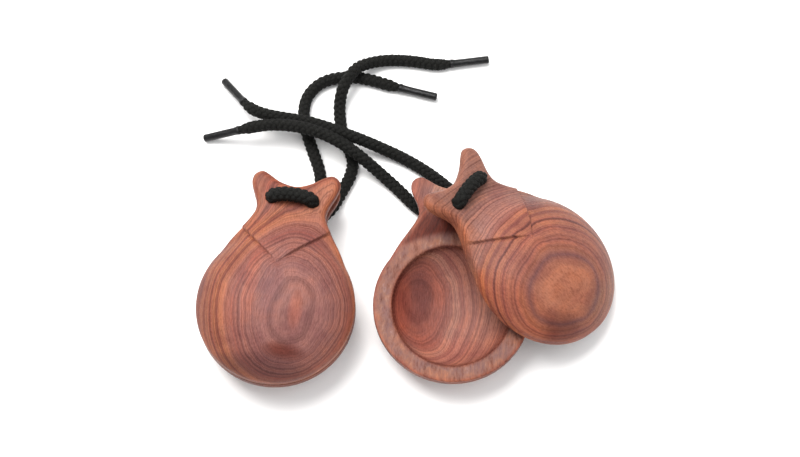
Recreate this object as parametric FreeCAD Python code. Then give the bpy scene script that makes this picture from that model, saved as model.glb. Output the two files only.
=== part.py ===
"""A pair of castanets: four carved rosewood shells and two braided cords with hard tips.

Millimetres, +Z up. The left castanet lies closed. The right one lies fanned open, its
upper shell tipped off the lower one on to the surface below.
"""
import FreeCAD
import Part
import math
import os

from FreeCAD import Placement, Rotation, Vector

# --- driving dimensions of one shell, in its own frame: the rim plane is z = 0, the dome
# rises along +Z, the middle of the cup is near the origin and the ears point along +Y
DISC_RADIUS = 32.2
DISC_CENTRE_Y = -0.6
DISC_END_ANGLE = 36.0
SHELL_HEIGHT = 17.5
DOME_RADIUS = 33.1
DOME_RISE = 17.8
STEP_HEIGHT = 1.2
CUP_RADIUS = 25.0
CUP_DEPTH = 10.0
FLANK_START_Y = 16.0
FLANK_END_Y = 40.0
FLANK_HEIGHT = 3.9
EAR_THICKNESS = 7.0
EAR_ROUNDING = 1.8
RELIEF_START_Y = 28.0
RELIEF_DEGREES = 6.1
HOLE_DIAMETER = 5.8
HOLE_X = 8.4
HOLE_Y = 44.1
# one side of the neck and ear, from the end of the round rim to the dip between the ears
NECK_SIDE = [(22.3, 25.2), (18.9, 30.5), (15.9, 35.6), (14.6, 39.4), (15.4, 43.6),
             (17.4, 48.0), (18.3, 51.6), (17.4, 54.6), (14.4, 56.2), (11.0, 54.8), (6.4, 52.2)]
SADDLE_Y = 50.8
# the V where the raised neck plate ends on the dome
V_APEX_Y = 16.0
V_ARM_X = 24.0
V_ARM_Y = 37.5

# --- where each shell lies
SHELL_GAP = 0.3
LEFT_AT = Vector(-53.2, -15.8, SHELL_HEIGHT)
LEFT_TURN = -7.7
RIGHT_AT = Vector(18.2, -14.4, SHELL_HEIGHT)
RIGHT_TURN = -2.0
RIGHT_UPPER_AT = Vector(54.9, 0.8, 13.3)
RIGHT_UPPER_TURN = 54.4
RIGHT_UPPER_ROLL = 19.1
RIGHT_UPPER_PITCH = 14.9

# --- the braided cord and its tips
CORD_DIAMETER = 5.0
LINK_DIAMETER = 4.2
LEG_START_Z = 3.0
BRIDGE_LIFT = 0.15
TIP_DIAMETER = 3.1
TIP_LENGTH = 16.0
RUN_SHARE = 0.45

# Free ends of the cords, from inside the hole of the lower shell to the tip. They drop
# to the surface, and the right castanet's pair passes over the left castanet's pair.
TAIL_ROUTES = {
    "left_cord_tail_a": [
        (-55.6, 29.1, 12.0), (-55.6, 29.1, 6.4), (-51.6, 29.5, 2.5), (-45.6, 31.6, 2.5),
        (-40.2, 35.6, 2.5), (-37.0, 41.6, 2.5), (-37.2, 48.8, 2.5), (-40.2, 57.4, 2.5),
        (-43.2, 66.4, 2.5), (-45.4, 75.0, 2.5), (-44.4, 84.6, 2.5), (-38.6, 91.6, 2.5),
        (-30.6, 94.4, 2.5), (-21.6, 94.4, 2.5), (-14.0, 92.6, 2.5), (-8.2, 90.6, 2.5),
        (-2.3, 89.0, 2.5)],
    "left_cord_tail_b": [
        (-38.9, 26.8, 12.0), (-38.9, 26.8, 6.4), (-35.4, 28.8, 2.5), (-31.2, 33.6, 2.5),
        (-28.0, 40.2, 2.5), (-24.4, 46.8, 2.5), (-22.9, 53.8, 2.5), (-25.4, 60.6, 2.5),
        (-28.2, 67.4, 2.5), (-29.4, 75.6, 2.5), (-29.4, 82.2, 4.6), (-27.4, 88.4, 8.4),
        (-22.6, 96.0, 8.4), (-16.6, 100.6, 4.4), (-7.8, 103.0, 2.5), (4.2, 102.2, 2.5),
        (13.4, 100.2, 2.5), (20.4, 101.1, 2.5)],
    "right_cord_tail_a": [
        (28.2, 29.3, 12.0), (28.2, 29.3, 6.4), (25.9, 32.7, 2.5), (20.9, 38.6, 2.5),
        (14.6, 44.7, 2.5), (6.9, 50.6, 2.5), (-1.8, 55.9, 2.6), (-10.6, 59.4, 4.6),
        (-19.0, 61.9, 7.9), (-26.6, 64.7, 8.5), (-34.4, 67.8, 8.3), (-42.2, 70.2, 8.5),
        (-50.2, 71.6, 8.7), (-57.6, 72.7, 9.0), (-64.0, 74.4, 9.1), (-68.6, 77.2, 8.5),
        (-71.4, 80.9, 6.9)],
    "right_cord_tail_b": [
        (11.3, 29.9, 12.0), (11.3, 29.9, 6.4), (7.5, 30.7, 2.5), (2.6, 34.2, 2.5),
        (-3.2, 40.6, 2.5), (-9.4, 46.2, 3.6), (-15.8, 50.8, 7.2), (-22.0, 54.8, 11.0),
        (-28.6, 59.2, 12.2), (-36.0, 63.2, 12.1), (-43.8, 65.8, 12.2), (-51.6, 67.2, 12.0),
        (-58.4, 67.6, 11.6), (-63.8, 67.3, 10.8), (-68.6, 66.8, 9.5), (-73.2, 66.5, 7.6)],
}


def move(shape, placement):
    placed = shape.copy()
    placed.Placement = placement.multiply(placed.Placement)
    return placed


def outline_face():
    """The plan of a shell: a round rim, and a waisted neck that ends in two ears."""
    end = math.radians(DISC_END_ANGLE)
    centre = Vector(0, DISC_CENTRE_Y, 0)
    right_end = centre + Vector(math.cos(end), math.sin(end), 0) * DISC_RADIUS
    left_end = Vector(-right_end.x, right_end.y, 0)
    rim = Part.Arc(left_end, centre + Vector(0, -DISC_RADIUS, 0), right_end)
    side = [Vector(x, y, 0) for x, y in NECK_SIDE]
    other = [Vector(-p.x, p.y, 0) for p in reversed(side)]
    neck = Part.BSplineCurve()
    neck.interpolate(Points=[right_end] + side + [Vector(0, SADDLE_Y, 0)] + other + [left_end],
                     InitialTangent=Vector(-math.sin(end), math.cos(end), 0),
                     FinalTangent=Vector(-math.sin(end), -math.cos(end), 0))
    return Part.Face(Part.Wire([rim.toShape(), neck.toShape()]))


def round_cap(radius, rise):
    """Half of an ellipsoid of revolution that stands on z = 0."""
    ellipse = Part.Ellipse(Vector(0, 0, 0), radius, rise)
    edge = Part.ArcOfEllipse(ellipse, 0, math.pi / 2).toShape()
    edge.rotate(Vector(0, 0, 0), Vector(1, 0, 0), 90)
    base = Part.makeLine(Vector(0, 0, 0), Vector(radius, 0, 0))
    axis = Part.makeLine(Vector(0, 0, rise), Vector(0, 0, 0))
    half = Part.Face(Part.Wire([base, edge, axis]))
    cap = half.revolve(Vector(0, 0, 0), Vector(0, 0, 1), 360)
    cap.translate(Vector(0, DISC_CENTRE_Y, 0))
    return cap


def flat_prism(points, height, plane_normal=Vector(0, 0, 1)):
    corners = [Vector(*p) for p in points]
    return Part.Face(Part.makePolygon(corners + corners[:1])).extrude(plane_normal * height)


def shell_body():
    """One carved shell, rim down: dome, raised neck plate, cup, relieved ears and holes."""
    face = outline_face()
    column = face.extrude(Vector(0, 0, SHELL_HEIGHT))
    v_region = flat_prism([(0, V_APEX_Y, 0), (V_ARM_X, V_ARM_Y, 0), (V_ARM_X, 70, 0),
                           (-V_ARM_X, 70, 0), (-V_ARM_X, V_ARM_Y, 0)], SHELL_HEIGHT)
    dome = column.common(round_cap(DOME_RADIUS, DOME_RISE))
    raised = round_cap(DOME_RADIUS + STEP_HEIGHT, DOME_RISE + STEP_HEIGHT)
    plate = column.common(raised).common(v_region)
    slab = face.extrude(Vector(0, 0, EAR_THICKNESS)).common(v_region)
    slab = round_top_edges(slab.Solids[0])
    flank_region = flat_prism([(-30, FLANK_START_Y, 0), (30, FLANK_START_Y, 0),
                               (30, FLANK_END_Y, 0), (-30, FLANK_END_Y, 0)], FLANK_HEIGHT)
    flank = column.common(flank_region)
    body = dome.fuse([plate, slab, flank])
    cup = round_cap(CUP_RADIUS, CUP_DEPTH)
    slope = math.tan(math.radians(RELIEF_DEGREES))
    relief = flat_prism([(-30, RELIEF_START_Y, 0), (-30, 70, 0),
                         (-30, 70, (70 - RELIEF_START_Y) * slope)], 60, Vector(1, 0, 0))
    body = body.cut([cup, relief])
    for side in (-1, 1):
        hole = Part.makeCylinder(HOLE_DIAMETER / 2, 30, Vector(side * HOLE_X, HOLE_Y, -5))
        body = body.cut(hole)
    return body.Solids[0]


def round_top_edges(slab):
    """Rounds the ears' upper edge, which follows the neck and ears."""
    edges = []
    for edge in slab.Edges:
        on_top = edge.BoundBox.ZMin > EAR_THICKNESS - 0.01
        if on_top and isinstance(edge.Curve, Part.BSplineCurve):
            edges.append(edge)
    return slab.makeFillet(EAR_ROUNDING, edges)


def cord_path(points):
    """Straight runs joined by tangent arcs, each as large as its two runs allow."""
    corners = [Vector(*p) for p in points]
    edges = []
    radii = []
    start = corners[0]
    for before, corner, after in zip(corners, corners[1:], corners[2:]):
        back = before - corner
        ahead = after - corner
        turn = math.pi - back.getAngle(ahead)
        reach = RUN_SHARE * min(back.Length, ahead.Length)
        radius = reach / math.tan(turn / 2)
        first = corner + back.normalize() * reach
        last = corner + ahead.normalize() * reach
        inward = (back + ahead).normalize()
        middle = corner + inward * (radius / math.cos(turn / 2) - radius)
        edges.append(Part.LineSegment(start, first).toShape())
        edges.append(Part.Arc(first, middle, last).toShape())
        start = last
        radii.append(radius)
    edges.append(Part.LineSegment(start, corners[-1]).toShape())
    return Part.Wire(edges), radii


def tube(name, points, diameter):
    """A round cord along a route, with its volume compared with section times length."""
    path, radii = cord_path(points)
    corners = [Vector(*p) for p in points]
    ring = Part.Circle(corners[0], corners[1] - corners[0], diameter / 2).toShape()
    solid = path.makePipeShell([Part.Wire([ring])], True, False)
    ideal = math.pi * diameter ** 2 / 4 * path.Length
    print(name, "length", round(path.Length, 1), "volume ratio", round(solid.Volume / ideal, 4),
          "radii", [round(r, 1) for r in radii])
    return solid


def tip(points):
    """The hard tip on the end of a cord, in line with the cord's last run."""
    end = Vector(*points[-1])
    along = (end - Vector(*points[-2])).normalize()
    return Part.makeCylinder(TIP_DIAMETER / 2, TIP_LENGTH, end, along)


def bridge_route():
    """Up one ear, across the top of the neck and down the other, in the shell's frame."""
    top = EAR_THICKNESS + BRIDGE_LIFT + CORD_DIAMETER / 2
    return [(-HOLE_X, HOLE_Y, LEG_START_Z), (-HOLE_X, HOLE_Y, top),
            (HOLE_X, HOLE_Y, top), (HOLE_X, HOLE_Y, LEG_START_Z)]


def closed_link(tail_start, upper):
    """The straight strand between the two shells of the closed castanet."""
    x, y, z = tail_start
    top = upper.multVec(Vector(0, 0, LEG_START_Z)).z
    return Part.makeCylinder(LINK_DIAMETER / 2, top - z, Vector(x, y, z))


def fanned_link(name, tail_start, upper, side, rise, entry):
    """The slanting strand from a lower hole to the hole of the tipped upper shell."""
    x, y, z = tail_start
    leg = upper.multVec(Vector(side * HOLE_X, HOLE_Y, LEG_START_Z))
    before = upper.multVec(Vector(side * HOLE_X, HOLE_Y, entry))
    return tube(name, [(x, y, z), (x, y, rise), tuple(before), tuple(leg)], LINK_DIAMETER)


shell = shell_body()
flipped = Rotation(Vector(0, 1, 0), 180)
left_turn = Rotation(Vector(0, 0, 1), LEFT_TURN)
right_turn = Rotation(Vector(0, 0, 1), RIGHT_TURN)
tipped = Rotation(Vector(0, 0, 1), RIGHT_UPPER_TURN)
tipped = tipped.multiply(Rotation(Vector(0, 1, 0), RIGHT_UPPER_ROLL))
tipped = tipped.multiply(Rotation(Vector(1, 0, 0), RIGHT_UPPER_PITCH))
left_upper = Placement(LEFT_AT + Vector(0, 0, SHELL_GAP), left_turn)
right_upper = Placement(RIGHT_UPPER_AT, tipped)
bridge = tube("bridge", bridge_route(), CORD_DIAMETER)

nodes = {
    "left_lower_shell": move(shell, Placement(LEFT_AT, left_turn.multiply(flipped))),
    "left_upper_shell": move(shell, left_upper),
    "right_lower_shell": move(shell, Placement(RIGHT_AT, right_turn.multiply(flipped))),
    "right_upper_shell": move(shell, right_upper),
    "left_cord_bridge": move(bridge, left_upper),
    "right_cord_bridge": move(bridge, right_upper),
    "left_cord_link_a": closed_link(TAIL_ROUTES["left_cord_tail_a"][0], left_upper),
    "left_cord_link_b": closed_link(TAIL_ROUTES["left_cord_tail_b"][0], left_upper),
    "right_cord_link_a": fanned_link(
        "right_cord_link_a", TAIL_ROUTES["right_cord_tail_a"][0], right_upper, 1, 17.8, -1.6),
    "right_cord_link_b": fanned_link(
        "right_cord_link_b", TAIL_ROUTES["right_cord_tail_b"][0], right_upper, -1, 19.0, -1.5),
}
for tail_name, route in TAIL_ROUTES.items():
    nodes[tail_name] = tube(tail_name, route, CORD_DIAMETER)
    nodes[tail_name.replace("cord_tail", "cord_tip")] = tip(route)

os.makedirs("parts", exist_ok=True)
for name, solid in nodes.items():
    print(name, solid.ShapeType, "valid", solid.isValid(), "solids", len(solid.Solids),
          "volume", round(solid.Volume, 1), "z", round(solid.BoundBox.ZMin, 2),
          round(solid.BoundBox.ZMax, 2))
    solid.exportStep("parts/" + name + ".step")
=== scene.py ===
"""Looks for the castanets: carved rosewood shells and braided cords round the CAD frame.

The shells and cords are worked out in millimetres and made into meshes in metres.
"""
import math

import bpy
import numpy as np
from mathutils import Matrix, Vector
from mathutils.geometry import delaunay_2d_cdt


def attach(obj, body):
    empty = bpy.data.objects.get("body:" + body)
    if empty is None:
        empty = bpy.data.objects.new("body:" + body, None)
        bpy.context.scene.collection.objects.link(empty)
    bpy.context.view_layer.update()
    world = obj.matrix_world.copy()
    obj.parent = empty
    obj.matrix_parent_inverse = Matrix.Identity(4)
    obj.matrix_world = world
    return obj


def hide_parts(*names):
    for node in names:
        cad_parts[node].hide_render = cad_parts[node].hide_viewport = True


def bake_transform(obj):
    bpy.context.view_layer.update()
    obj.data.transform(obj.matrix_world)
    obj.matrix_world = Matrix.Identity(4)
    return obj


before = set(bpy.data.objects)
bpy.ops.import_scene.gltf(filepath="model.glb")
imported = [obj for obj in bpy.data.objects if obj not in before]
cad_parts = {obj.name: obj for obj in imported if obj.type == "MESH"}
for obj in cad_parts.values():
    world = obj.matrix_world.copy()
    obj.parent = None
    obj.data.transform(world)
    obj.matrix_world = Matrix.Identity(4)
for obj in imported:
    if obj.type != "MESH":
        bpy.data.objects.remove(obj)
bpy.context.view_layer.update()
MM = 0.001

# ---------------------------------------------------------------- driving dimensions, in mm
DISC_RADIUS = 32.2
DISC_CENTRE_Y = -0.6
DISC_END_DEGREES = 36
SHELL_HEIGHT = 17.5
DOME_RADIUS = 33.1
DOME_RISE = 17.8
CUP_HALF_X = 24.6
CUP_HALF_Y = 25.6
CUP_CENTRE_Y = -0.8
CUP_DEPTH = 9.4
CUP_WALL_POWER = 2.3
CUP_FLOOR_POWER = 0.62
CUP_EDGE_BLEND = 0.8
OUTSIDE_CUP_FALL = 45
RELIEF_START_Y = 28.0
RELIEF_SLOPE = math.tan(math.radians(6.1))
HOLE_RADIUS = 2.6
HOLE_X = 8.4
HOLE_Y = 44.1
NECK_SIDE = [(22.3, 25.2), (18.9, 30.5), (15.9, 35.6), (14.6, 39.4), (15.4, 43.6),
             (17.4, 48.0), (18.3, 51.6), (17.4, 54.6), (14.4, 56.2), (11.0, 54.8), (6.4, 52.2)]
SADDLE_Y = 50.8
# where a shifted ear starts and reaches its full shift, along the shell and across it
EAR_START_Y = 42
EAR_FULL_Y = 53
EAR_START_X = 0
EAR_FULL_X = 12
# height of the neck's back along the shell, before its cross curve, from the cup to the ears
NECK_RAMP = [(-40, -20), (0, 0), (12, 11), (18, 13.4), (22, 12.9), (26, 11.8), (31, 9.8),
             (36, 8.1), (40, 7.3), (44, 7.0), (60, 6.1)]
NECK_CROSS_CURVE = 0.0150
EAR_CROSS_CURVE = 0.0025
CUP_SIDE_HEIGHT = 4.1
NECK_SIDE_HEIGHT = 6.0
# the V on the back: a raised plate that fades towards the ears, with a groove along its step
STEP_HEIGHT = 1.35
PLATE_FADE = 13
GROOVE_DEPTH = 0.40
GROOVE_WIDTH = 0.34
GROOVE_OFFSET = 0.3
APEX_SHARE = 0.25
# the soft ridge that runs from the V's apex over the dome
RIDGE_HEIGHT = 0.45
RIDGE_LEAN = 0.25
RIDGE_FADE = 5
RIDGE_WIDTH = 5
CORD_RADIUS = 2.85
BRIDGE_RADIUS = 3.2
LINK_RADIUS = 2.3
TIP_LENGTH = 16.0
# distance along a tip and its radius there, from inside the cord to inside the cut end
TIP_PROFILE = [(-1.2, 1.86), (-0.8, 2.00), (0.0, 1.92), (0.8, 1.76), (2.0, 1.70), (5.0, 1.68),
               (8.0, 1.67), (11.0, 1.69), (14.0, 1.67), (TIP_LENGTH - 0.6, 1.70),
               (TIP_LENGTH - 0.2, 1.64), (TIP_LENGTH, 1.48), (TIP_LENGTH - 0.1, 1.25),
               (TIP_LENGTH - 0.8, 1.15), (TIP_LENGTH - 0.9, 0.4)]
BRIDGE_Z = 9.6

# where each shell lies: middle of its rim plane, and its turn, roll and pitch in degrees
LEFT_LOWER = ((-53.2, -15.8, 17.5), (-7.7, 180, 0))
LEFT_UPPER = ((-53.2, -15.8, 17.8), (-7.7, 0, 0))
RIGHT_LOWER = ((18.2, -14.4, 17.5), (-2.0, 180, 0))
RIGHT_UPPER = ((54.9, 0.8, 13.3), (54.4, 19.1, 14.9))

# Each shell's place, the V on its back (one arm's end, the apex, the other arm's end), and
# its wood: the middle of the grain's ovals, a seed, how much painted shade darkens the edge
# of its back and its walls (the lower shells' shadowed gap under the upper shell), the
# heights between which the layers' colours run, how light it is, how much the layers
# bow along x and y, how fine the fibres are along x, y and z, and how strong the thin
# stripes are. Ear shift is how far the tip of its ear at +x stands from the CAD's along x
# and y, in mm. The colours are the layers' colours from the rim to the crown. A patch is a
# stain of the wood, or painted shade or light where its comment says so: its middle, its
# two half sizes and what it multiplies the colour by.
SHELLS = {
    "left_upper_shell": {
        "place": LEFT_UPPER, "v_line": ((-19.5, 30.6), (-0.9, 13.6), (19.0, 33.8)),
        "grain_centre": (9.2, -5.0), "seed": 11.0, "painted_shade": 0.0,
        "heights": (-7.5, 19.6), "tone": 1.0,
        "bow": (0.007, 0.0), "fibre": (2.4, 0.26, 2.4), "stripes": 0.75,
        "ear_shift": (0.3, 1.3),
        "colours": [(0.00, (0.25, 0.105, 0.085)), (0.09, (0.40, 0.185, 0.120)),
                    (0.15, (0.24, 0.090, 0.068)), (0.21, (0.43, 0.200, 0.125)),
                    (0.29, (0.28, 0.105, 0.080)), (0.36, (0.47, 0.205, 0.115)),
                    (0.41, (0.23, 0.080, 0.060)), (0.47, (0.45, 0.200, 0.120)),
                    (0.54, (0.36, 0.165, 0.130)), (0.62, (0.31, 0.130, 0.110)),
                    (0.70, (0.33, 0.160, 0.138)), (0.80, (0.29, 0.143, 0.132)),
                    (0.88, (0.34, 0.172, 0.156)), (0.925, (0.30, 0.150, 0.138)),
                    (0.965, (0.33, 0.166, 0.148))],
        "patches": [((9.6, -5.0), (2.6, 7.0), (1.34, 1.08, 0.88)),
                    # a dark stain low on the dome, made darker as painted shade of the dome's
                    # lower side
                    ((7.0, -21.5), (8.0, 3.0), (0.52, 0.31, 0.26)),
                    ((-1.0, 1.0), (4.0, 13.0), (0.84, 0.80, 0.86)),
                    ((-9.5, 4.0), (2.8, 16.0), (1.24, 1.05, 0.90)),
                    # painted shade: the dome darker along its near, lower edge
                    ((-3.0, -28.5), (22.0, 5.0), (0.58, 0.56, 0.60)),
                    ((-11.0, 50.0), (3.4, 7.0), (0.78, 0.62, 0.66))]},
    "left_lower_shell": {
        "place": LEFT_LOWER, "v_line": ((-19.0, 33.0), (0.6, 15.4), (19.3, 32.0)),
        "grain_centre": (-6.0, 4.0), "seed": 31.0, "painted_shade": 0.8,
        # this lower shell's tone below 1 is painted shade: the whole shell darker, for the
        # shadowed gap under its upper shell
        "heights": (-7.0, 18.6), "tone": 0.85,
        "bow": (0.007, 0.0), "fibre": (2.4, 0.26, 2.4), "stripes": 0.75,
        "ear_shift": (0.0, 0.0),
        "colours": [(0.00, (0.30, 0.140, 0.110)), (0.14, (0.24, 0.095, 0.072)),
                    (0.30, (0.40, 0.180, 0.120)), (0.48, (0.27, 0.105, 0.085)),
                    (0.66, (0.38, 0.175, 0.125)), (0.82, (0.27, 0.125, 0.110)),
                    (0.97, (0.35, 0.160, 0.120))],
        "patches": []},
    "right_lower_shell": {
        "place": RIGHT_LOWER, "v_line": ((-19.2, 32.5), (0.0, 15.0), (19.2, 32.5)),
        "grain_centre": (17.5, 3.0), "seed": 47.0, "painted_shade": 0.8,
        "heights": (-12.0, 13.4), "tone": 1.0,
        "bow": (0.007, 0.0), "fibre": (2.4, 0.26, 2.4), "stripes": 0.42,
        "ear_shift": (0.0, 0.0),
        "colours": [(0.00, (0.30, 0.130, 0.100)), (0.18, (0.40, 0.185, 0.135)),
                    (0.30, (0.31, 0.140, 0.110)), (0.40, (0.42, 0.195, 0.140)),
                    (0.50, (0.31, 0.135, 0.110)), (0.58, (0.41, 0.195, 0.150)),
                    (0.64, (0.29, 0.125, 0.105)), (0.71, (0.45, 0.245, 0.190)),
                    (0.77, (0.28, 0.120, 0.100)), (0.85, (0.31, 0.115, 0.088)),
                    (0.93, (0.25, 0.085, 0.065)), (0.99, (0.30, 0.100, 0.075))],
        "patches": [((0.0, 53.0), (26.0, 8.5), (1.02, 1.30, 1.42)),
                    ((22.0, -1.0), (5.0, 17.0), (1.10, 0.88, 0.78)),
                    ((12.5, 8.0), (4.5, 9.0), (0.66, 0.68, 0.80)),
                    ((3.0, -18.0), (16.0, 6.0), (1.06, 0.98, 0.98))]},
    "right_upper_shell": {
        "place": RIGHT_UPPER, "v_line": ((-19.0, 30.6), (-1.8, 13.2), (20.2, 30.8)),
        "grain_centre": (-11.0, -12.0), "seed": 73.0, "painted_shade": 0.0,
        "heights": (-5.0, 20.0), "tone": 1.0,
        "bow": (0.001, 0.005), "fibre": (1.5, 0.55, 2.4), "stripes": 0.45,
        "ear_shift": (1.6, 1.2),
        "colours": [(0.00, (0.30, 0.165, 0.135)), (0.12, (0.34, 0.185, 0.150)),
                    (0.22, (0.27, 0.115, 0.090)), (0.30, (0.44, 0.200, 0.120)),
                    (0.36, (0.24, 0.090, 0.075)), (0.42, (0.42, 0.185, 0.120)),
                    (0.48, (0.25, 0.100, 0.085)), (0.54, (0.43, 0.190, 0.120)),
                    (0.60, (0.29, 0.115, 0.095)), (0.68, (0.39, 0.170, 0.120)),
                    (0.76, (0.30, 0.125, 0.100)), (0.82, (0.40, 0.175, 0.115)),
                    (0.87, (0.22, 0.105, 0.100)), (0.91, (0.38, 0.165, 0.110)),
                    (0.96, (0.45, 0.200, 0.125))],
        "patches": [((0.0, 30.0), (15.0, 9.0), (1.16, 1.12, 1.18)),
                    ((-17.5, 42.0), (5.0, 17.0), (1.22, 1.00, 0.78)),
                    ((14.0, 22.0), (5.0, 4.0), (0.80, 0.78, 0.86)),
                    ((-9.0, -12.0), (7.0, 10.0), (1.05, 1.01, 0.97)),
                    ((-21.0, -20.0), (7.0, 8.0), (0.70, 0.60, 0.58)),
                    # a paler, greyer band along the near edge: partly the wood's side, partly
                    # painted light bounced from the floor
                    ((12.0, -27.0), (18.0, 6.0), (1.02, 1.22, 1.22)),
                    ((-26.0, -2.0), (5.0, 20.0), (1.10, 0.96, 0.80))]},
}

# free ends of the cords: body, real length, and the route from the lower hole to the tip
TAILS = {
    "left_cord_tail_a": ("left_lower", 120, [
        (-55.6, 29.1, 12.0), (-55.6, 29.1, 6.4), (-51.6, 29.5, 2.5), (-45.6, 31.6, 2.5),
        (-40.2, 35.6, 2.5), (-37.0, 41.6, 2.5), (-37.2, 48.8, 2.5), (-40.2, 57.4, 2.5),
        (-43.2, 66.4, 2.5), (-45.4, 75.0, 2.5), (-44.4, 84.6, 2.5), (-38.6, 91.6, 2.5),
        (-30.6, 94.4, 2.5), (-21.6, 94.4, 2.5), (-14.0, 92.6, 2.5), (-8.2, 90.6, 2.5),
        (-2.3, 89.0, 2.5)]),
    "left_cord_tail_b": ("left_lower", 130, [
        (-38.9, 26.8, 12.0), (-38.9, 26.8, 6.4), (-35.4, 28.8, 2.5), (-31.2, 33.6, 2.5),
        (-28.0, 40.2, 2.5), (-24.4, 46.8, 2.5), (-22.9, 53.8, 2.5), (-25.4, 60.6, 2.5),
        (-28.2, 67.4, 2.5), (-29.4, 75.6, 2.5), (-29.4, 82.2, 4.6), (-27.4, 88.4, 8.4),
        (-22.6, 96.0, 8.4), (-16.6, 100.6, 4.4), (-7.8, 103.0, 2.5), (4.2, 102.2, 2.5),
        (13.4, 100.2, 2.5), (20.4, 101.1, 2.5)]),
    "right_cord_tail_a": ("right_lower", 123, [
        (28.2, 29.3, 12.0), (28.2, 29.3, 6.4), (25.9, 32.7, 2.5), (20.9, 38.6, 2.5),
        (14.6, 44.7, 2.5), (6.9, 50.6, 2.5), (-1.8, 55.9, 2.6), (-10.6, 59.4, 4.6),
        (-19.0, 61.9, 7.9), (-26.6, 64.7, 8.5), (-34.4, 67.8, 8.3), (-42.2, 70.2, 8.5),
        (-50.2, 71.6, 8.7), (-57.6, 72.7, 9.0), (-64.0, 74.4, 9.1), (-68.6, 77.2, 8.5),
        (-71.4, 80.9, 6.9)]),
    "right_cord_tail_b": ("right_lower", 105, [
        (11.3, 29.9, 12.0), (11.3, 29.9, 6.4), (7.5, 30.7, 2.5), (2.6, 34.2, 2.5),
        (-3.2, 40.6, 2.5), (-9.4, 46.2, 3.6), (-15.8, 50.8, 7.2), (-22.0, 54.8, 11.0),
        (-28.6, 59.2, 12.2), (-36.0, 63.2, 12.1), (-43.8, 65.8, 12.2), (-51.6, 67.2, 12.0),
        (-58.4, 67.6, 11.6), (-63.8, 67.3, 10.8), (-68.6, 66.8, 9.5), (-73.2, 66.5, 7.6)]),
}


def placed(place):
    """World matrix of a shell, in mm."""
    at, (turn, roll, pitch) = place
    matrix = Matrix.Translation(at) @ Matrix.Rotation(math.radians(turn), 4, "Z")
    matrix = matrix @ Matrix.Rotation(math.radians(roll), 4, "Y")
    return matrix @ Matrix.Rotation(math.radians(pitch), 4, "X")


def add_mesh(name, points_mm, faces, materials):
    """A smooth-shaded object from points in mm."""
    mesh = bpy.data.meshes.new(name)
    mesh.from_pydata((np.asarray(points_mm) * MM).tolist(), [], faces)
    mesh.polygons.foreach_set("use_smooth", [True] * len(mesh.polygons))
    for material in materials:
        mesh.materials.append(material)
    obj = bpy.data.objects.new(name, mesh)
    bpy.context.scene.collection.objects.link(obj)
    return obj


# ---------------------------------------------------------------- camera, floor and light
CAMERA_AIM = (-0.003, 0.0243, 0.0)
CAMERA_ELEVATION = math.radians(70)
CAMERA_DISTANCE = 0.6298
CAMERA_LENS = 66.4
WORLD_STRENGTH = 0.74
FLOOR_HALF_SIZE = 3000.0


def make_camera():
    """The camera, which looks down at the castanets from the side their cups lie on."""
    camera = bpy.data.objects.new("camera", bpy.data.cameras.new("camera"))
    bpy.context.scene.collection.objects.link(camera)
    camera.data.lens = CAMERA_LENS
    back = Vector((0, -math.cos(CAMERA_ELEVATION), math.sin(CAMERA_ELEVATION)))
    camera.location = Vector(CAMERA_AIM) + back * CAMERA_DISTANCE
    camera.rotation_euler = (math.pi / 2 - CAMERA_ELEVATION, 0, 0)
    bpy.context.scene.camera = camera


def area_light(name, location, size, power, colour):
    """A square light that points at what the camera looks at."""
    light = bpy.data.lights.new(name, "AREA")
    light.size = size
    light.energy = power
    light.color = colour
    obj = bpy.data.objects.new(name, light)
    bpy.context.scene.collection.objects.link(obj)
    obj.location = location
    aim = Vector(CAMERA_AIM) - Vector(location)
    obj.rotation_euler = aim.to_track_quat("-Z", "Y").to_euler()


def make_studio():
    """A white floor and surroundings, a warm key light high behind and a weak cool fill."""
    area_light("key", (-0.27, 0.38, 0.92), size=0.66, power=17.0, colour=(1, 0.985, 0.965))
    area_light("fill", (0.5, -0.1, 1.0), size=0.9, power=2.6, colour=(0.97, 0.985, 1))
    world = bpy.data.worlds.new("studio")
    bpy.context.scene.world = world
    world.use_nodes = True
    background = world.node_tree.nodes["Background"]
    background.inputs["Color"].default_value = (1, 1, 1, 1)
    background.inputs["Strength"].default_value = WORLD_STRENGTH
    bpy.context.scene.view_settings.view_transform = "Standard"
    half = FLOOR_HALF_SIZE
    corners = [(-half, -half, 0), (half, -half, 0), (half, half, 0), (-half, half, 0)]
    floor = add_mesh("floor", corners, [(0, 1, 2, 3)], [floor_material()])


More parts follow.
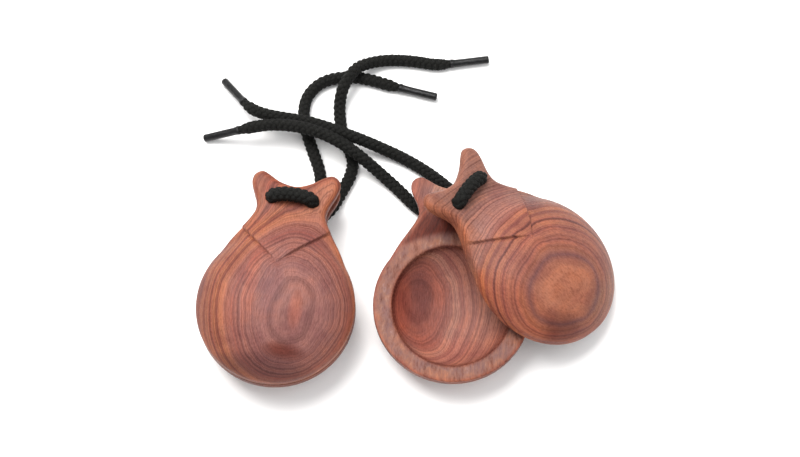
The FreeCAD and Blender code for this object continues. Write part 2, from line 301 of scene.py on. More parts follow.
# ---------------------------------------------------------------- materials
class Shader:
    """A small helper that adds and joins the nodes of one material."""

    def __init__(self, name):
        """A new material, ready for its nodes."""
        self.material = bpy.data.materials.new(name)
        self.material.use_nodes = True
        self.tree = self.material.node_tree
        self.surface = self.tree.nodes["Principled BSDF"]

    def node(self, kind, inputs=(), **settings):
        """A new node with its settings, and with its inputs set or joined."""
        node = self.tree.nodes.new(kind)
        for key, value in settings.items():
            setattr(node, key, value)
        for key, value in dict(inputs).items():
            self.put(node.inputs[key], value)
        return node

    def put(self, socket, value):
        """Joins a socket to another, or gives it a constant."""
        if isinstance(value, bpy.types.NodeSocket):
            self.tree.links.new(value, socket)
        else:
            socket.default_value = value

    def math(self, operation, *values):
        """The result of a sum on numbers."""
        return self.node("ShaderNodeMath", enumerate(values), operation=operation).outputs[0]

    def vector(self, operation, *values):
        """The result of a sum on vectors."""
        return self.node("ShaderNodeVectorMath", enumerate(values), operation=operation).outputs[0]

    def noise(self, vector, scale, detail=3.0, roughness=0.55, kind="3D"):
        """Cloudy noise from 0 to 1, in space or along one value."""
        where = {"W" if kind == "1D" else "Vector": vector}
        node = self.node("ShaderNodeTexNoise", where, noise_dimensions=kind)
        node.inputs["Scale"].default_value = scale
        node.inputs["Detail"].default_value = detail
        node.inputs["Roughness"].default_value = roughness
        return node.outputs["Fac"]

    def ramp(self, value, stops):
        """Colours or greys along a value from 0 to 1."""
        node = self.node("ShaderNodeValToRGB", {"Fac": value})
        elements = node.color_ramp.elements
        while len(elements) < len(stops):
            elements.new(0.5)
        for element, (position, colour) in zip(elements, stops):
            element.position = position
            grey = not hasattr(colour, "__len__")
            element.color = (colour,) * 3 + (1,) if grey else (*colour, 1)
        return node.outputs["Color"]

    def mix(self, factor, first, second, blend="MIX"):
        """The first colour, blended with the second as far as factor says."""
        node = self.node("ShaderNodeMix", data_type="RGBA", blend_type=blend)
        self.put(node.inputs["Factor"], factor)
        self.put(node.inputs["A"], first if not isinstance(first, tuple) else (*first, 1))
        self.put(node.inputs["B"], second if not isinstance(second, tuple) else (*second, 1))
        return node.outputs["Result"]

    def tint(self, amount, colour, tone):
        """The colour multiplied by a tone, as far as amount says."""
        return self.mix(amount, colour, self.mix(1.0, colour, tone, "MULTIPLY"))

    def fade(self, value, *limits):
        """A value brought from a low and a high limit to 0 and 1, or to two given ends."""
        inputs = dict(enumerate((value, *limits)))
        return self.node("ShaderNodeMapRange", inputs).outputs[0]

    def mark(self, name):
        """A value that the mesh carries at its points."""
        return self.node("ShaderNodeAttribute", attribute_name=name).outputs["Fac"]

    def position_mm(self):
        """Position on the object, in mm."""
        where = self.node("ShaderNodeTexCoord").outputs["Object"]
        return self.vector("MULTIPLY", where, (1 / MM, 1 / MM, 1 / MM))

    def finish(self, colour, roughness, specular):
        """Joins or sets the surface's colour, roughness and specular level."""
        self.put(self.surface.inputs["Base Color"], colour)
        self.put(self.surface.inputs["Roughness"], roughness)
        self.surface.inputs["Specular IOR Level"].default_value = specular

    def bump(self, height, distance):
        """Relief of the surface, with its depth in metres."""
        node = self.node("ShaderNodeBump", {"Height": height})
        node.inputs["Strength"].default_value = 1.0
        node.inputs["Distance"].default_value = distance
        self.tree.links.new(node.outputs["Normal"], self.surface.inputs["Normal"])


def floor_material():
    """Matt white."""
    shader = Shader("floor")
    shader.finish((0.93, 0.93, 0.93, 1), roughness=0.9, specular=0.1)
    return shader.material


# the wood: what each mark on it multiplies its colour by, and the stops of its noises
WOOD_TONE = (0.57, 0.48, 0.46)
RELIEF_GRAIN_AND_SHADE_TONE = (0.38, 0.15, 0.095)
EDGE_TONE = (1.26, 1.06, 0.84)
WEAR_AND_SHADE_TONE = (0.50, 0.38, 0.34)
SANDED_STOPS = [(0.30, (0.13, 0.060, 0.045)), (0.41, (0.27, 0.145, 0.115)),
                (0.50, (0.33, 0.210, 0.185)), (0.58, (0.40, 0.230, 0.165)),
                (0.72, (0.52, 0.385, 0.340))]
SANDED_TINTS = [(0.40, (0.80, 0.84, 0.98)), (0.50, 1.0), (0.60, (1.14, 0.98, 0.86))]
BROAD_STRIPES = [(0.32, (0.58, 0.48, 0.47)), (0.48, 1.0), (0.68, (1.28, 1.18, 1.06))]
THIN_STRIPES = [(0.34, (0.60, 0.50, 0.48)), (0.47, 1.0), (0.7, (1.18, 1.12, 1.06))]
FIBRES = [(0.30, (0.70, 0.62, 0.60)), (0.5, 1.0), (0.72, (1.30, 1.30, 1.32))]
CLOUDS = [(0.36, (0.86, 0.80, 0.84)), (0.5, 1.0), (0.64, (1.12, 1.06, 0.98))]
PORES = [(0.26, 0.45), (0.36, 1.0)]
WEAR_AND_SHADE_STOPS = [(0.38, 0.3), (0.54, 1.0)]
ROUGHNESS_STOPS = [(0.3, 0.52), (0.7, 0.42)]
# how far noise moves a growth layer up and down, in mm, in wide waves and in small ones
LAYER_WAVE = 3.6
LAYER_RIPPLE = 0.6
WOOD_SPECULAR = 0.16
WOOD_BUMP = 0.00015
SANDED_BUMP_SHARE = 3.0


def shell_position(shader, place):
    """Position in a shell's own frame, in mm."""
    back = placed(place).inverted()
    where = shader.node("ShaderNodeTexCoord").outputs["Object"]
    mapping = shader.node("ShaderNodeMapping", {"Vector": where})
    mapping.inputs["Scale"].default_value = (1 / MM, 1 / MM, 1 / MM)
    mapping.inputs["Rotation"].default_value = back.to_euler()
    mapping.inputs["Location"].default_value = back.translation
    return mapping.outputs["Vector"]


def growth_layer(shader, look, x, y, z, moved):
    """Which growth layer a point is in, as a height in mm: ovals on the dome, waved by noise."""
    slope = (DOME_RISE / DOME_RADIUS) ** 2 / SHELL_HEIGHT
    layer = shader.math("MULTIPLY_ADD", x, slope * look["grain_centre"][0], z)
    layer = shader.math("MULTIPLY_ADD", y, slope * look["grain_centre"][1], layer)
    for axis, middle, bow in zip((x, y), look["grain_centre"], look["bow"]):
        off_middle = shader.math("SUBTRACT", axis, middle)
        squared = shader.math("MULTIPLY", off_middle, off_middle)
        layer = shader.math("MULTIPLY_ADD", squared, -bow, layer)
    wave = shader.noise(moved, scale=0.045, detail=1.0)
    layer = shader.math("MULTIPLY_ADD", wave, LAYER_WAVE, layer)
    along_grain = shader.vector("MULTIPLY", moved, (1.0, 0.35, 1.0))
    ripple = shader.noise(along_grain, scale=0.35, detail=2.0)
    return shader.math("MULTIPLY_ADD", ripple, LAYER_RIPPLE, layer)


def striped_colour(shader, look, layer):
    """The layers' colours, with broad and thin stripes that fade towards the crown."""
    seed = look["seed"]
    noise_middle = (LAYER_WAVE + LAYER_RIPPLE) / 2
    low, high = (height + noise_middle for height in look["heights"])
    share = shader.fade(layer, low, high)
    off_crown = shader.fade(share, 0.75, 0.95, 0.8, 0.3)
    broad = shader.noise(shader.math("ADD", layer, seed), scale=1.1, roughness=0.6, kind="1D")
    colour = shader.mix(off_crown, shader.ramp(share, look["colours"]),
                        shader.ramp(broad, BROAD_STRIPES), "MULTIPLY")
    thin = shader.noise(shader.math("ADD", layer, 3 * seed), scale=3.4, detail=2.0,
                        roughness=0.6, kind="1D")
    amount = shader.math("MULTIPLY", off_crown, 1.25 * look["stripes"])
    return shader.mix(amount, colour, shader.ramp(thin, THIN_STRIPES), "MULTIPLY")


def stained_colour(shader, colour, patches, x, y):
    """The colour with the wood's stains, each an oval with a soft edge."""
    for middle, sizes, tone in patches:
        across = shader.math("DIVIDE", shader.math("SUBTRACT", x, middle[0]), sizes[0])
        along = shader.math("DIVIDE", shader.math("SUBTRACT", y, middle[1]), sizes[1])
        across_squared = shader.math("POWER", across, 2.0)
        along_squared = shader.math("POWER", along, 2.0)
        reach = shader.math("ADD", across_squared, along_squared)
        colour = shader.tint(shader.fade(reach, 1.6, 0.1), colour, tone)
    return colour


def worked_colour(shader, colour, moved, flecks, sanded):
    """The colour with what carving, sanding and wear have done to it, and with painted shade on
    the relieved neck, at the cup's edge and round the lower shells' backs.
    """
    # the relieved neck: red end grain, darkened further by painted shade from the upper shell
    colour = shader.tint(shader.mark("relief"), colour, RELIEF_GRAIN_AND_SHADE_TONE)
    tints = shader.ramp(shader.noise(moved, scale=0.13, detail=2.0), SANDED_TINTS)
    bare_wood = shader.mix(0.9, shader.ramp(flecks, SANDED_STOPS), tints, "MULTIPLY")
    colour = shader.mix(shader.math("MULTIPLY", sanded, 0.78), colour, bare_wood)
    colour = shader.tint(shader.math("MULTIPLY", shader.mark("edge"), 0.6), colour, EDGE_TONE)
    wear_and_shade_mottle = shader.ramp(shader.noise(moved, scale=1.1, roughness=0.7), WEAR_AND_SHADE_STOPS)
    # wear at the cup's edge and painted shade on the lower shells' back edges and walls, mottled
    # by one noise and darkened by one tone
    return shader.tint(shader.math("MULTIPLY", shader.mark("wear_and_shade"), wear_and_shade_mottle), colour, WEAR_AND_SHADE_TONE)


def rosewood(name, look):
    """Striped rosewood, whose growth layers lie across the dome, with a sanded rim."""
    shader = Shader(name + "_wood")
    position = shell_position(shader, look["place"])
    split = shader.node("ShaderNodeSeparateXYZ", {0: position})
    x, y, z = (split.outputs[i] for i in range(3))
    seed = look["seed"]
    moved = shader.vector("ADD", position, (seed, 2 * seed, 3 * seed))
    colour = striped_colour(shader, look, growth_layer(shader, look, x, y, z, moved))
    along_fibre = shader.vector("MULTIPLY", position, look["fibre"])
    fibres = shader.noise(along_fibre, scale=1.0, roughness=0.75)
    colour = shader.mix(0.85, colour, shader.ramp(fibres, FIBRES), "MULTIPLY")
    clouds = shader.noise(moved, scale=0.09, roughness=0.6)
    colour = shader.mix(1.0, colour, shader.ramp(clouds, CLOUDS), "MULTIPLY")
    along_pores = shader.vector("MULTIPLY", moved, (3.4, 0.55, 3.4))
    pores = shader.noise(along_pores, scale=1.0, detail=2.0, roughness=0.8)
    colour = shader.mix(0.5, colour, shader.ramp(pores, PORES), "MULTIPLY")
    colour = stained_colour(shader, colour, look["patches"], x, y)
    sanded = shader.mark("sanded")
    along_flecks = shader.vector("MULTIPLY", moved, (1.0, 0.34, 1.0))
    flecks = shader.noise(along_flecks, scale=0.52, detail=4.0, roughness=0.72)
    colour = worked_colour(shader, colour, moved, flecks, sanded)
    tone = tuple(look["tone"] * part for part in WOOD_TONE)
    colour = shader.mix(1.0, colour, tone, "MULTIPLY")
    roughness = shader.mix(sanded, shader.ramp(fibres, ROUGHNESS_STOPS), (0.7, 0.7, 0.7))
    shader.finish(colour, roughness, WOOD_SPECULAR)
    sanded_flecks = shader.math("MULTIPLY", sanded, flecks)
    shader.bump(shader.math("MULTIPLY_ADD", sanded_flecks, SANDED_BUMP_SHARE, fibres), WOOD_BUMP)
    return shader.material


def mottled_black(name, scale, stops, roughness, specular, bump):
    """A near-black material, mottled and roughened by one noise."""
    shader = Shader(name)
    mottle = shader.noise(shader.position_mm(), scale, roughness=0.7)
    shader.finish(shader.ramp(mottle, stops), roughness, specular)
    shader.bump(mottle, bump)
    return shader.material


def cord_material():
    """Soft black yarn."""
    stops = [(0.35, (0.0012, 0.0012, 0.0012)), (0.52, (0.0050, 0.0050, 0.0045)),
             (0.68, (0.0190, 0.0190, 0.0160))]
    return mottled_black("braided_cord", 3.2, stops, roughness=0.68, specular=0.14, bump=0.00025)


def tip_material():
    """Shiny black film, slightly crumpled."""
    stops = [(0.40, (0.002, 0.002, 0.0022)), (0.58, (0.006, 0.006, 0.0066)),
             (0.66, (0.024, 0.024, 0.027))]
    return mottled_black("cord_tip", 1.3, stops, roughness=0.28, specular=0.24, bump=0.0002)


# ---------------------------------------------------------------- shell outline and heights
GRID = 0.8
EDGE_SPACING = 0.55
HOLE_SEGMENTS = 30
WALL_ROWS = 5
TUBE_ROWS = 7
RIM_ROUNDING = 0.7
CUP_EDGE_ROUNDING = 1.1
EAR_EDGE_ROUNDING = 2.8
HOLE_TOP_ROUNDING = 0.5
HOLE_RIM_ROUNDING = 0.6
LINE_SPACING = 0.5
BLOCK = 2000


def smooth_step(low, high, value):
    """0 below the low limit, 1 above the high one, and a smooth rise between."""
    t = np.clip((value - low) / (high - low), 0, 1)
    return t * t * (3 - 2 * t)


def smooth_max(a, b, width):
    """The greater of two values, rounded over where they are within width of each other."""
    blend = np.clip(0.5 + 0.5 * (a - b) / width, 0, 1)
    return b + (a - b) * blend + width * blend * (1 - blend)


def even_spacing(points, spacing):
    """Points at an even distance along a closed line."""
    closed = np.vstack([points, points[:1]])
    along = np.concatenate([[0], np.cumsum(np.linalg.norm(np.diff(closed, axis=0), axis=1))])
    count = int(round(along[-1] / spacing))
    where = np.arange(count) * along[-1] / count
    return np.column_stack([np.interp(where, along, closed[:, i]) for i in range(2)])


def through(points, steps=10):
    """A smooth line through the points after the first and before the last."""
    p = np.array(points, float)
    line = []
    for a, b, c, d in zip(p, p[1:], p[2:], p[3:]):
        for t in np.arange(steps) / steps:
            line.append(0.5 * (2 * b + (c - a) * t + (2 * a - 5 * b + 4 * c - d) * t ** 2
                               + (3 * b - a - 3 * c + d) * t ** 3))
    return np.array(line)


def shell_outline():
    """Plan of a shell: the round rim, the waist and the two ears, anticlockwise."""
    angles = np.radians(np.arange(-180 - DISC_END_DEGREES, DISC_END_DEGREES + 1, 1.0))
    rim = np.column_stack([DISC_RADIUS * np.cos(angles),
                           DISC_CENTRE_Y + DISC_RADIUS * np.sin(angles)])
    side = np.array(NECK_SIDE)
    other = side[::-1] * (-1, 1)
    knots = np.vstack([rim[-8], rim[-1], side, [(0, SADDLE_Y)], other, rim[0], rim[7]])
    return even_spacing(np.vstack([rim[:-1], through(knots)]), EDGE_SPACING)


OUTLINE = shell_outline()
HOLES = [(-HOLE_X, HOLE_Y), (HOLE_X, HOLE_Y)]


def edge_distance(points):
    """How far each point is inside the outline: below 0 outside it."""
    start = OUTLINE
    run = np.roll(OUTLINE, -1, axis=0) - start
    length = (run ** 2).sum(1)
    distance = np.empty(len(points))
    inside = np.zeros(len(points), bool)
    for first in range(0, len(points), BLOCK):
        block = slice(first, first + BLOCK)
        part = points[block]
        offset = part[:, None, :] - start[None]
        t = np.clip((offset * run).sum(2) / length, 0, 1)
        gap = offset - t[..., None] * run
        distance[block] = np.sqrt((gap ** 2).sum(2).min(1))
        above = offset[..., 1] < 0
        next_above = np.roll(above, -1, axis=1)
        cross = run[:, 0] * offset[..., 1] - run[:, 1] * offset[..., 0]
        hits = (above != next_above) & ((cross > 0) == above)
        inside[block] = hits.sum(1) % 2 == 1
    return np.where(inside, distance, -distance)


def hole_distance(points):
    """Distance from the wall of the nearer hole: below 0 in the hole."""
    gaps = [np.hypot(points[:, 0] - x, points[:, 1] - y) - HOLE_RADIUS for x, y in HOLES]
    return np.minimum(*gaps)


def rounded_drop(distance, radius):
    """How far a rounded edge has dropped at this distance from it."""
    t = np.clip(1 - distance / radius, 0, 1)
    return radius * (1 - np.sqrt(1 - t * t))


def edge_rounding(y):
    """Radius of the outer edge: small round the cup, generous on the neck and ears."""
    rise = EAR_EDGE_ROUNDING - CUP_EDGE_ROUNDING
    return CUP_EDGE_ROUNDING + rise * smooth_step(20, 40, y)


def v_distance(points, v_line):
    """Distance from the V, above 0 on the raised neck plate."""
    left, apex, right = v_line
    gaps = []
    for end, sign in ((left, -1), (right, 1)):
        run = np.subtract(end, apex)
        normal = np.array([-run[1], run[0]]) * sign / np.hypot(*run)
        gaps.append((points - np.array(apex)) @ normal)
    return -smooth_max(-gaps[0], -gaps[1], 0.8)


def carving(points, v_line):
    """Height that the V adds to the back: its raised plate, its groove and its ridge."""
    apex_x, apex_y = v_line[1]
    inward = v_distance(points, v_line)
    raised = smooth_step(-0.15, 0.4, inward) * np.exp(-inward.clip(0) / PLATE_FADE)
    groove = np.exp(-((inward + GROOVE_OFFSET) / GROOVE_WIDTH) ** 2)
    from_apex = np.hypot(points[:, 0] - apex_x, points[:, 1] - apex_y)
    cut = APEX_SHARE + (1 - APEX_SHARE) * smooth_step(1.5, 8.0, from_apex)
    below = apex_y - points[:, 1]
    beside = points[:, 0] - apex_x - RIDGE_LEAN * below
    ridge = smooth_step(-2, 2, below) * np.exp(-below.clip(0) / RIDGE_FADE)
    ridge = ridge * np.exp(-(beside / RIDGE_WIDTH) ** 2) * (1 - smooth_step(-0.3, 0.5, beside))
    return cut * (STEP_HEIGHT * raised - GROOVE_DEPTH * groove) + RIDGE_HEIGHT * ridge


def top_height(points, distance, v_line):
    """Height of the carved back: dome, neck, side walls, the V and rounded edges."""
    x, y = points[:, 0], points[:, 1]
    radial = (x ** 2 + (y - DISC_CENTRE_Y) ** 2) / DOME_RADIUS ** 2
    dome = DOME_RISE * np.sqrt(np.maximum(1 - radial, 0))
    dome = -smooth_max(-dome, np.full_like(dome, -SHELL_HEIGHT), 0.15)
    ramp_y, ramp_z = np.array(NECK_RAMP).T
    ramp = np.mean([np.interp(y + shift, ramp_y, ramp_z) for shift in (-3, -1.5, 0, 1.5, 3)], 0)
    flattening = (NECK_CROSS_CURVE - EAR_CROSS_CURVE) * smooth_step(30, 46, y)
    neck = ramp - (NECK_CROSS_CURVE - flattening) * x ** 2
    side_rise = NECK_SIDE_HEIGHT - CUP_SIDE_HEIGHT
    side = CUP_SIDE_HEIGHT + side_rise * smooth_step(16, 40, y)
    height = smooth_max(smooth_max(dome, neck, 1.8), side, 2.2) + carving(points, v_line)
    height = height - rounded_drop(distance, edge_rounding(y))
    return height - rounded_drop(hole_distance(points), HOLE_TOP_ROUNDING)


def cup_reach(points):
    """How far out each point is from the cup's middle, as a share of the cup's size."""
    return np.hypot(points[:, 0] / CUP_HALF_X, (points[:, 1] - CUP_CENTRE_Y) / CUP_HALF_Y)


def bottom_height(points, distance):
    """Height of the rim side: flat rim, hollowed cup, relieved ears and eased edges."""
    reach = cup_reach(points)
    hollow = CUP_DEPTH * np.maximum(1 - reach ** CUP_WALL_POWER, 0) ** CUP_FLOOR_POWER
    cup = np.where(reach < 1, hollow, (1 - reach) * OUTSIDE_CUP_FALL)
    height = smooth_max(cup, np.zeros_like(cup), CUP_EDGE_BLEND)
    relief = (points[:, 1] - RELIEF_START_Y) * RELIEF_SLOPE
    height = smooth_max(height, relief, 0.12)
    height = height + rounded_drop(distance, RIM_ROUNDING)
    return height + rounded_drop(hole_distance(points), HOLE_RIM_ROUNDING)


# ---------------------------------------------------------------- shell meshes
def ring_points(offsets, radii_at):
    """Rings just inside the outline, closer together where the edge is steeper."""
    run = np.roll(OUTLINE, -1, axis=0) - np.roll(OUTLINE, 1, axis=0)
    inward = np.column_stack([-run[:, 1], run[:, 0]])
    inward /= np.linalg.norm(inward, axis=1)[:, None]
    rings = []
    for share in offsets:
        reach = share * radii_at(OUTLINE[:, 1])
        moved = OUTLINE + inward * reach[:, None]
        rings.append(moved[edge_distance(moved) > reach * 0.97])
    return np.vstack(rings)


def line_points(start, end, offset):
    """Points along a line that runs beside the one from start to end."""
    run = np.subtract(end, start)
    length = np.hypot(*run)
    normal = np.array([-run[1], run[0]]) / length
    steps = np.linspace(0, 1, int(length / LINE_SPACING))[:, None]
    return np.array(start) + steps * run + normal * offset


def grid_points(feature, radii_at):
    """Points of an even triangular grid, where no edge, hole or feature has its own."""
    span = np.abs(OUTLINE).max() + 2
    gx, gy = np.meshgrid(np.arange(-span, span, GRID), np.arange(-span, span, GRID * 0.87))
    gx = gx + (np.arange(len(gx)) % 2)[:, None] * GRID / 2
    grid = np.column_stack([gx.ravel(), gy.ravel()])
    grid = grid[(np.abs(grid[:, 0]) < OUTLINE[:, 0].max()) & (grid[:, 1] > OUTLINE[:, 1].min())]
    grid = grid[edge_distance(grid) > radii_at(grid[:, 1]) + 0.35]
    grid = grid[hole_distance(grid) > 1.2]
    near = [np.sqrt(((grid[i:i + BLOCK, None] - feature[None]) ** 2).sum(2).min(1))
            for i in range(0, len(grid), BLOCK)]
    return grid[np.concatenate(near) > 0.4]


def plan_mesh(features, radii_at):
    """Triangles over the outline, with points on its edge, its holes and the features."""
    shares = 1 - np.cos(np.radians([22, 38, 52, 64, 76, 90]))
    rings = ring_points(shares, radii_at)
    turns = np.arange(HOLE_SEGMENTS) * 2 * math.pi / HOLE_SEGMENTS
    circle = np.column_stack([np.cos(turns), np.sin(turns)])
    hole_loops = [np.array(centre) + circle * HOLE_RADIUS for centre in HOLES]
    hole_rings = [np.array(centre) + circle * (HOLE_RADIUS + gap) for centre in HOLES
                  for gap in (0.1, 0.25, 0.5, 0.85)]
    feature = np.vstack(features)
    feature = feature[(edge_distance(feature) > radii_at(feature[:, 1]) + 0.05)]
    grid = grid_points(feature, radii_at)
    points = np.vstack([OUTLINE, *hole_loops, rings, *hole_rings, feature, grid])
    count = len(OUTLINE)
    loops = [np.arange(count)] + [count + np.arange(HOLE_SEGMENTS) + i * HOLE_SEGMENTS
                                  for i in range(len(HOLES))]
    edges = [(int(a), int(b)) for loop in loops for a, b in zip(loop, np.roll(loop, -1))]
    verts, _, faces, source, _, _ = delaunay_2d_cdt(
        [Vector(p) for p in points.tolist()], edges, [], 0, 1e-5)
    plane = np.array([v[:] for v in verts])
    where = {i: new for new, olds in enumerate(source) for i in olds}
    triangles = np.array(faces)
    middle = plane[triangles].mean(1)
    keep = (edge_distance(middle) > 0) & (hole_distance(middle) > 0)
    loops = [np.array([where[int(i)] for i in loop]) for loop in loops]
    return plane, triangles[keep], loops


def band(lower, upper, low_points, high_points, rows, points, faces, inward):
    """Rows of quads between a loop of the rim side and the same loop of the back."""
    previous = list(lower)
    for row in range(1, rows + 1):
        if row == rows:
            current = list(upper)
        else:
            start = sum(len(p) for p in points)
            points.append(low_points + (high_points - low_points) * row / rows)
            current = list(range(start, start + len(lower)))
        for i in range(len(lower)):
            j = (i + 1) % len(lower)
            quad = (previous[i], previous[j], current[j], current[i])
            faces.append(quad[::-1] if inward else quad)
        previous = current


def surface_marks(points, distance, rim_side, painted_shade):
    """How sanded, how relieved, how near an edge, and how worn or darkened by painted shade each
    point is, from 0 to 1.
    """
    x, y = points[:, 0], points[:, 1]
    if not rim_side:
        edge = 1 - smooth_step(0.4, 2.6, distance)
        # on the back, the edge takes the shell's painted shade: a lower shell's edge darkened for
        # the shadowed gap under the upper one
        return np.column_stack([0 * x, 0 * x, edge, painted_shade * edge])
    reach = cup_reach(points)
    # the relieved neck starts where the rim's ring ends, and fades out towards the ears;
    # its dark red is the neck's end grain, deepened by painted shade from the upper shell
    neck = smooth_step(28.4, 32.6, np.hypot(x, y - DISC_CENTRE_Y)) * smooth_step(22, 27, y)
    inner = 0.25 + 0.75 * smooth_step(0.3, 2.6, distance)
    relief = neck * inner * (1 - 0.95 * smooth_step(37, 45, y))
    sanded = smooth_step(0.99, 1.05, reach) * smooth_step(0.2, 1.6, distance) * (1 - neck)
    # a dark ring round the cup's edge: worn wood with dark specks, and painted shade of the cup's
    # wall
    wear_and_shade = np.exp(-((reach - 0.985) / 0.04) ** 2)
    edge = 0.8 * (1 - smooth_step(0.6, 4.4, distance))
    return np.column_stack([sanded, relief, edge, wear_and_shade])


def base_plan():
    """The rim side, which all four shells share."""
    turns = np.linspace(0, 2 * math.pi, 300, endpoint=False)
    ellipse = np.column_stack([np.cos(turns), np.sin(turns)])
    cup_rings = [ellipse * (CUP_HALF_X + r, CUP_HALF_Y + r) + (0, CUP_CENTRE_Y)
                 for r in (-1.3, -0.9, -0.55, -0.25, 0.0, 0.25, 0.5)]
    relief_lines = [line_points((-22, RELIEF_START_Y + r), (22, RELIEF_START_Y + r), 0)
                    for r in (-0.3, 0.0, 0.3)]
    return plan_mesh(cup_rings + relief_lines, lambda y: np.full_like(y, RIM_ROUNDING))


def shell_arrays(v_line, rim_side, painted_shade):
    """Points, faces and marks of one shell in its own frame."""
    left, apex, right = v_line
    base, base_faces, base_loops = rim_side
    v_rows = [line_points(apex, end, offset)
              for end in (left, right) for offset in (-0.9, -0.6, -0.3, 0.0, 0.2, 0.45, 0.8)]
    top, top_faces, top_loops = plan_mesh(v_rows, edge_rounding)
    base_edge, top_edge = np.abs(edge_distance(base)), np.abs(edge_distance(top))
    points = [np.column_stack([base, bottom_height(base, base_edge)]),
              np.column_stack([top, top_height(top, top_edge, v_line)])]
    shift = len(base)
    faces = [tuple(int(i) for i in f[::-1]) for f in base_faces]
    faces += [tuple(int(i) + shift for i in f) for f in top_faces]
    for index, (low, high) in enumerate(zip(base_loops, top_loops)):
        rows = WALL_ROWS if index == 0 else TUBE_ROWS
        band(low, high + shift, points[0][low], points[1][high], rows, points, faces, index > 0)
    marks = [surface_marks(base, base_edge, True, painted_shade),
             surface_marks(top, top_edge, False, painted_shade)]
    # the walls count as edge, and take the shell's painted shade too
    walls = sum(len(p) for p in points[2:])
    marks.append(np.tile((0.0, 0.0, 1.0, painted_shade), (walls, 1)))
    return np.vstack(points), faces, np.vstack(marks)


def make_shell(name, body, rim_side):
    """One carved shell, with its own V, grain and place."""
    look = SHELLS[name]
    points, faces, marks = shell_arrays(look["v_line"], rim_side, look["painted_shade"])
    along_ear = smooth_step(EAR_START_Y, EAR_FULL_Y, points[:, 1])
    across_ear = smooth_step(EAR_START_X, EAR_FULL_X, points[:, 0])
    points[:, :2] += (along_ear * across_ear)[:, None] * look["ear_shift"]
    matrix = placed(look["place"])
    world = points @ np.array(matrix.to_3x3()).T + np.array(matrix.translation)
    shell = add_mesh(name + "_carved", world, faces, [rosewood(name, look)])
    for column, mark in enumerate(("sanded", "relief", "edge", "wear_and_shade")):
        layer = shell.data.attributes.new(mark, "FLOAT", "POINT")
        layer.data.foreach_set("value", marks[:, column].astype(np.float32))
    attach(shell, body)
    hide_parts(name)


# ---------------------------------------------------------------- cords
STRANDS_EACH_WAY = 4
BRAID_PITCH = 10.2
STRAND_SHARE = 0.45
STRAND_HALF_DEPTH = 0.52
STRAND_SIDES = 12
WEAVE = 0.44
CORD_STEP = 0.45
TAPER_LENGTH = 6.5
TAPERED_SHARE = 0.62
TIP_SIDES = 32
# heights where a link starts and stops bending, and where it lies in a tipped upper shell
TIPPED_HOLE_LOW_Z = -1.4
TIPPED_HOLE_HIGH_Z = 3.2
# each link of the tipped shell: its letter, its hole's side and how high it rises straight
TIPPED_LINKS = (("a", 1, 17.0), ("b", -1, 18.5))


def spline_line(points_mm):
    """Points read from the NURBS spline whose control points these are, in mm."""
    curve = bpy.data.curves.new("route", "CURVE")
    curve.dimensions = "3D"
    spline = curve.splines.new("NURBS")
    spline.points.add(len(points_mm) - 1)
    for control, point in zip(spline.points, points_mm):
        control.co = (*(c * MM for c in point), 1)
    spline.order_u = 3
    spline.use_endpoint_u = True
    spline.resolution_u = 16
    route = bpy.data.objects.new("route", curve)
    mesh = bpy.data.meshes.new_from_object(route)
    line = np.array([v.co for v in mesh.vertices]) / MM
    bpy.data.objects.remove(route)
    bpy.data.meshes.remove(mesh)
    return line


def even_line(line, step):
    """Points at an even distance along an open line, and how far along it they are."""
    along = np.concatenate([[0], np.cumsum(np.linalg.norm(np.diff(line, axis=0), axis=1))])
    where = np.linspace(0, along[-1], max(int(along[-1] / step), 4))
    return np.column_stack([np.interp(where, along, line[:, i]) for i in range(3)]), where


def carried_frames(line):
    """Tangent and two cross directions that turn as little as possible along the line."""
    tangent = np.gradient(line, axis=0)
    tangent /= np.linalg.norm(tangent, axis=1)[:, None]
    start = np.cross(tangent[0], (0.3, 0.9, 0.1))
    side = [start / np.linalg.norm(start)]
    for t in tangent[1:]:
        carried = side[-1] - t * (side[-1] @ t)
        side.append(carried / np.linalg.norm(carried))
    side = np.array(side)
    return tangent, side, np.cross(tangent, side)


def add_tube(rings, points, faces):
    """Closes a row of rings into one tube with capped ends."""
    start = sum(len(p) for p in points)
    count, sides = rings.shape[:2]
    points.append(rings.reshape(-1, 3))
    for k in range(count - 1):
        for i in range(sides):
            j = (i + 1) % sides
            a = start + k * sides
            faces.append((a + i, a + j, a + sides + j, a + sides + i))
    faces.append(tuple(range(start, start + sides))[::-1])
    faces.append(tuple(range(start + (count - 1) * sides, start + count * sides)))


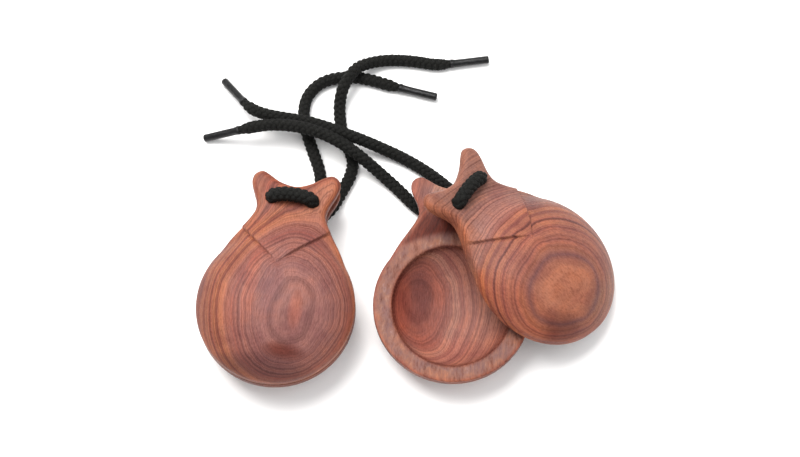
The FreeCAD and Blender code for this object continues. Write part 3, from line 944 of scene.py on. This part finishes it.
def braid(line, cord_radius, taper_end=False):
    """A round braid along a line: strands wind both ways and pass over and under."""
    line, along = even_line(line, CORD_STEP)
    tangent, side, across = carried_frames(line)
    scale = np.ones(len(line))
    if taper_end:
        to_end = smooth_step(0.0, TAPER_LENGTH, along[-1] - along)
        scale = TAPERED_SHARE + (1 - TAPERED_SHARE) * to_end
    points, faces = [], []
    turns = np.arange(STRAND_SIDES) * 2 * math.pi / STRAND_SIDES
    lobes = 1 + 0.10 * np.cos(6 * turns)
    profile_across = STRAND_SHARE * cord_radius * np.cos(turns)
    profile_out = STRAND_HALF_DEPTH * np.sin(turns) * lobes
    middle = cord_radius - STRAND_HALF_DEPTH - WEAVE
    over = np.cos(2 * math.pi * STRANDS_EACH_WAY * along / BRAID_PITCH)
    lean = math.atan2(2 * math.pi * middle, BRAID_PITCH)
    for way in (1, -1):
        radius = middle + way * WEAVE * over
        for k in range(STRANDS_EACH_WAY):
            angle = way * 2 * math.pi * along / BRAID_PITCH + 2 * math.pi * k / STRANDS_EACH_WAY
            out = np.cos(angle)[:, None] * side + np.sin(angle)[:, None] * across
            round_way = np.cross(tangent, out)
            wide = round_way * math.cos(lean) - way * tangent * math.sin(lean)
            centre = line + out * (radius * scale)[:, None]
            bend = profile_across ** 2 / (2 * middle)
            size = scale[:, None, None]
            rings = (centre[:, None] + wide[:, None] * (profile_across[:, None] * size)
                     + out[:, None] * ((profile_out - bend)[:, None] * size))
            add_tube(rings, points, faces)
    core = ((middle - 0.1) * scale)[:, None, None]
    rings = line[:, None] + core * (np.cos(turns)[:, None] * side[:, None]
                                    + np.sin(turns)[:, None] * across[:, None])
    add_tube(rings, points, faces)
    points = np.vstack(points)
    points[:, 2] = points[:, 2].clip(0.02)
    return points, faces, line


def tip_arrays(start, along):
    """A crimped film tip round the end of a cord, with a lap seam and a flat cut end."""
    side = np.cross(along, (0, 0, 1))
    side /= np.linalg.norm(side)
    up = np.cross(side, along)
    turns = np.arange(TIP_SIDES) * 2 * math.pi / TIP_SIDES
    seam = 0.10 * np.exp(-((np.sin((turns - 1.1) / 2)) / 0.16) ** 2)
    rings = []
    for s, radius in TIP_PROFILE:
        dents = 1 + 0.02 * np.sin(3 * turns + 0.9 * s) + 0.014 * np.sin(5 * turns - 1.7 * s)
        size = radius * dents + seam
        centre = np.array(start) + np.array(along) * s
        rings.append(centre + size[:, None] * (np.cos(turns)[:, None] * side
                                               + np.sin(turns)[:, None] * up))
    points, faces = [], []
    add_tube(np.array(rings), points, faces)
    return np.vstack(points), faces


def make_tail(name, body, route, materials):
    """A free end of a cord with its tip."""
    points, faces, line = braid(spline_line(route), CORD_RADIUS, taper_end=True)
    tail = add_mesh(name + "_braid", points, faces, [materials["cord"]])
    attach(tail, body)
    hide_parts(name)
    tip_name = name.replace("cord_tail", "cord_tip")
    run = np.subtract(route[-1], route[-2])
    points, faces = tip_arrays(route[-1], run / np.linalg.norm(run))
    tip = add_mesh(tip_name + "_film", points, faces, [materials["tip"]])
    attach(tip, body)
    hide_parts(tip_name)


def make_bridge(name, place, body, materials):
    """The cord across the back of an upper shell, down into both holes."""
    matrix = placed(place)
    side = [(HOLE_X, 0, 2.6), (HOLE_X, 0, 6.2), (HOLE_X - 0.1, 0.2, BRIDGE_Z - 0.6),
            (HOLE_X - 3.4, 0.8, BRIDGE_Z + 0.3), (2.4, 1.1, BRIDGE_Z + 0.6)]
    route = [(-x, HOLE_Y + y, z) for x, y, z in side]
    route += [(x, HOLE_Y + y, z) for x, y, z in reversed(side)]
    points, faces, _ = braid(spline_line([matrix @ Vector(p) for p in route]), BRIDGE_RADIUS)
    bridge = add_mesh(name + "_braid", points, faces, [materials["cord"]])
    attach(bridge, body)
    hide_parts(name)


def make_link(name, route, materials):
    """A strand between two shells, drawn along its route."""
    points, faces, _ = braid(spline_line(route), LINK_RADIUS)
    link = add_mesh(name + "_braid", points, faces, [materials["cord"]])
    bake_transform(link)
    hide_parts(name)


def make_links(materials):
    """The four strands between lower and upper shells: straight when closed, bent when tipped."""
    for letter in "ab":
        x, y, z = TAILS[f"left_cord_tail_{letter}"][2][0]
        route = [(x, y, z), (x, y, z + 4), (x, y, z + 9)]
        make_link(f"left_cord_link_{letter}", route, materials)
    upper = placed(RIGHT_UPPER)
    for letter, side, rise in TIPPED_LINKS:
        x, y, z = TAILS[f"right_cord_tail_{letter}"][2][0]
        inner = upper @ Vector((side * HOLE_X, HOLE_Y, TIPPED_HOLE_LOW_Z))
        leg = upper @ Vector((side * HOLE_X, HOLE_Y, TIPPED_HOLE_HIGH_Z))
        route = [(x, y, z), (x, y, 0.5 * (z + rise)), (x, y, rise), tuple(inner), tuple(leg)]
        make_link(f"right_cord_link_{letter}", route, materials)


# ---------------------------------------------------------------- the whole scene
make_camera()
make_studio()
cord_looks = {"cord": cord_material(), "tip": tip_material()}
for tail_name, (tail_body, tail_length, tail_route) in TAILS.items():
    make_tail(tail_name, tail_body, tail_route, cord_looks)
make_bridge("left_cord_bridge", LEFT_UPPER, "left_upper", cord_looks)
make_bridge("right_cord_bridge", RIGHT_UPPER, "right_upper", cord_looks)
make_links(cord_looks)

shared_rim_side = base_plan()
for shell_name in SHELLS:
    make_shell(shell_name, shell_name.replace("_shell", ""), shared_rim_side)
